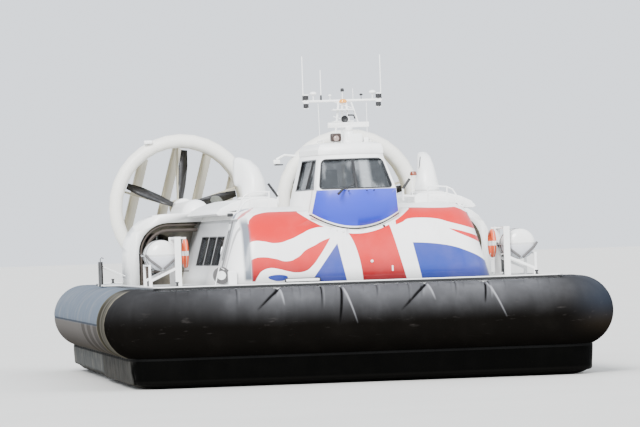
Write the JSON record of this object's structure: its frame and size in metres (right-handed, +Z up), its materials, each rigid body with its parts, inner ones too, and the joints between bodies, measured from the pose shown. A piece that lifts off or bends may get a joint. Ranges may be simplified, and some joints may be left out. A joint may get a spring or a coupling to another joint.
{
  "type": "passenger hovercraft",
  "caption": "Passenger ferry hovercraft with an inflated skirt, sloping cabin nose, raised wheelhouse, turning bow thrusters, and ducted stern propellers with rudders.",
  "frame": {"origin": "on the ground under the middle of the craft, at the bottom centre of its bounding box", "axes": "+X to port, +Y aft along the craft's length with the bow towards -Y, +Z up"},
  "size_m": [12.8598, 23.7198, 8.24],
  "materials": {
    "white_paint": "gloss",
    "nose_paint": "gloss",
    "cream_paint": "satin",
    "dark_metal": "satin",
    "bare_metal": "satin",
    "skirt_rubber": "satin",
    "tinted_glass": "gloss",
    "white_plastic": "gloss",
    "orange_plastic": "matte",
    "dark_plastic": "matte"
  },
  "bodies": {
    "craft": {"hull": "white_paint", "deck_strake": "white_paint", "skirt_bag": "skirt_rubber", "skirt_fingers": "skirt_rubber", "landing_skid_port": "bare_metal", "landing_skid_starboard": "bare_metal", "nose_shell": "nose_paint", "cabin_roof": "white_paint", "cabin_side_port": "white_paint", "cabin_side_starboard": "white_paint", "side_glazing_port": "tinted_glass", "side_glazing_starboard": "tinted_glass", "engine_room": "white_paint", "engine_port": "dark_metal", "engine_starboard": "dark_metal", "wheelhouse_shell": "white_paint", "wheelhouse_glass": "tinted_glass", "wheelhouse_roof": "white_paint", "helm": "dark_metal", "fan_bay_port": "white_paint", "fan_bay_starboard": "white_paint", "air_trunk_port": "white_paint", "air_trunk_starboard": "white_paint", "drive_fairing_port": "white_paint", "drive_fairing_starboard": "white_paint", "duct_port": "cream_paint", "duct_starboard": "cream_paint", "raft_frame_port": "white_paint", "raft_frame_starboard": "white_paint", "liferaft_port": "white_plastic", "liferaft_starboard": "white_plastic", "lifebuoy_port": "orange_plastic", "lifebuoy_starboard": "orange_plastic", "mast": "white_paint"},
    "door_port": {"cabin_door_port": "white_paint"},
    "door_starboard": {"cabin_door_starboard": "white_paint"},
    "lift_fan_port": {"lift_fan_port": "bare_metal"},
    "lift_fan_starboard": {"lift_fan_starboard": "bare_metal"},
    "bow_thruster_port": {"bow_thruster_port": "white_paint"},
    "bow_thruster_starboard": {"bow_thruster_starboard": "white_paint"},
    "propeller_port": {"propeller_port": "dark_plastic"},
    "propeller_starboard": {"propeller_starboard": "dark_plastic"},
    "rudder_port_1": {"rudder_port_1": "cream_paint"},
    "rudder_port_2": {"rudder_port_2": "cream_paint"},
    "rudder_port_3": {"rudder_port_3": "cream_paint"},
    "rudder_port_4": {"rudder_port_4": "cream_paint"},
    "rudder_starboard_1": {"rudder_starboard_1": "cream_paint"},
    "rudder_starboard_2": {"rudder_starboard_2": "cream_paint"},
    "rudder_starboard_3": {"rudder_starboard_3": "cream_paint"},
    "rudder_starboard_4": {"rudder_starboard_4": "cream_paint"},
    "gangway_port": {"gangway_plate_port": "dark_plastic"},
    "gangway_starboard": {"gangway_plate_starboard": "dark_plastic"},
    "radar": {"radar_scanner": "white_plastic"}
  },
  "joints": [
    {"name": "door_port_swing", "type": "hinge", "parent": "craft", "child": "door_port", "pos_m": [3.19092, -8.975, 3.35], "axis": [0.2566, 0, -0.9665], "range_deg": [0, 110]},
    {"name": "door_starboard_swing", "type": "hinge", "parent": "craft", "child": "door_starboard", "pos_m": [-3.19092, -8.975, 3.35], "axis": [0.2566, 0, 0.9665], "range_deg": [0, 110]},
    {"name": "lift_fan_port_spin", "type": "hinge", "parent": "craft", "child": "lift_fan_port", "pos_m": [4.08, 0.9, 3.3], "axis": [0, 1, 0], "continuous": true},
    {"name": "lift_fan_starboard_spin", "type": "hinge", "parent": "craft", "child": "lift_fan_starboard", "pos_m": [-4.08, 0.9, 3.3], "axis": [0, 1, 0], "continuous": true},
    {"name": "bow_thruster_port_turn", "type": "hinge", "parent": "craft", "child": "bow_thruster_port", "pos_m": [2.23, -7.45, 4.8], "axis": [0, 0, 1], "range_deg": [-90, 90]},
    {"name": "bow_thruster_starboard_turn", "type": "hinge", "parent": "craft", "child": "bow_thruster_starboard", "pos_m": [-2.23, -7.45, 4.8], "axis": [0, 0, 1], "range_deg": [-123.75, 56.25]},
    {"name": "propeller_port_spin", "type": "hinge", "parent": "craft", "child": "propeller_port", "pos_m": [2.44, 9.6, 4.64], "axis": [0, 1, 0], "continuous": true},
    {"name": "propeller_starboard_spin", "type": "hinge", "parent": "craft", "child": "propeller_starboard", "pos_m": [-2.44, 9.6, 4.64], "axis": [0, 1, 0], "continuous": true},
    {"name": "rudder_starboard_1_turn", "type": "hinge", "parent": "craft", "child": "rudder_starboard_1", "pos_m": [-3.744, 10.74, 4.98941], "axis": [0.2588, 0, 0.9659], "range_deg": [-10, 50]},
    {"name": "rudder_starboard_2_turn", "type": "hinge", "parent": "craft", "child": "rudder_starboard_2", "pos_m": [-2.87467, 10.74, 4.75647], "axis": [0.2588, 0, 0.9659], "range_deg": [-10, 50]},
    {"name": "rudder_starboard_3_turn", "type": "hinge", "parent": "craft", "child": "rudder_starboard_3", "pos_m": [-2.00533, 10.74, 4.52353], "axis": [0.2588, 0, 0.9659], "range_deg": [-10, 50]},
    {"name": "rudder_starboard_4_turn", "type": "hinge", "parent": "craft", "child": "rudder_starboard_4", "pos_m": [-1.136, 10.74, 4.29059], "axis": [0.2588, 0, 0.9659], "range_deg": [-10, 50]},
    {"name": "rudder_port_1_turn", "type": "hinge", "parent": "craft", "child": "rudder_port_1", "pos_m": [1.136, 10.74, 4.29059], "axis": [-0.2588, 0, 0.9659], "range_deg": [-10, 50]},
    {"name": "rudder_port_2_turn", "type": "hinge", "parent": "craft", "child": "rudder_port_2", "pos_m": [2.00533, 10.74, 4.52353], "axis": [-0.2588, 0, 0.9659], "range_deg": [-10, 50]},
    {"name": "rudder_port_3_turn", "type": "hinge", "parent": "craft", "child": "rudder_port_3", "pos_m": [2.87467, 10.74, 4.75647], "axis": [-0.2588, 0, 0.9659], "range_deg": [-10, 50]},
    {"name": "rudder_port_4_turn", "type": "hinge", "parent": "craft", "child": "rudder_port_4", "pos_m": [3.744, 10.74, 4.98941], "axis": [-0.2588, 0, 0.9659], "range_deg": [-10, 50]},
    {"name": "gangway_port_fold", "type": "hinge", "parent": "craft", "child": "gangway_port", "pos_m": [5.54, 0.95, 2.515], "axis": [0, 1, 0], "range_deg": [0, 90]},
    {"name": "gangway_starboard_fold", "type": "hinge", "parent": "craft", "child": "gangway_starboard", "pos_m": [-5.54, 0.95, 2.515], "axis": [0, -1, 0], "range_deg": [0, 90]},
    {"name": "radar_spin", "type": "hinge", "parent": "craft", "child": "radar", "pos_m": [0, -9.25, 6.38], "axis": [0, 0, 1], "continuous": true}
  ],
  "couplings": [
    {"joint": "rudder_starboard_2_turn", "follows": "rudder_starboard_1_turn", "ratio": 1},
    {"joint": "rudder_starboard_3_turn", "follows": "rudder_starboard_1_turn", "ratio": 1},
    {"joint": "rudder_starboard_4_turn", "follows": "rudder_starboard_1_turn", "ratio": 1},
    {"joint": "rudder_port_1_turn", "follows": "rudder_starboard_1_turn", "ratio": 1},
    {"joint": "rudder_port_2_turn", "follows": "rudder_starboard_1_turn", "ratio": 1},
    {"joint": "rudder_port_3_turn", "follows": "rudder_starboard_1_turn", "ratio": 1},
    {"joint": "rudder_port_4_turn", "follows": "rudder_starboard_1_turn", "ratio": 1}
  ]
}
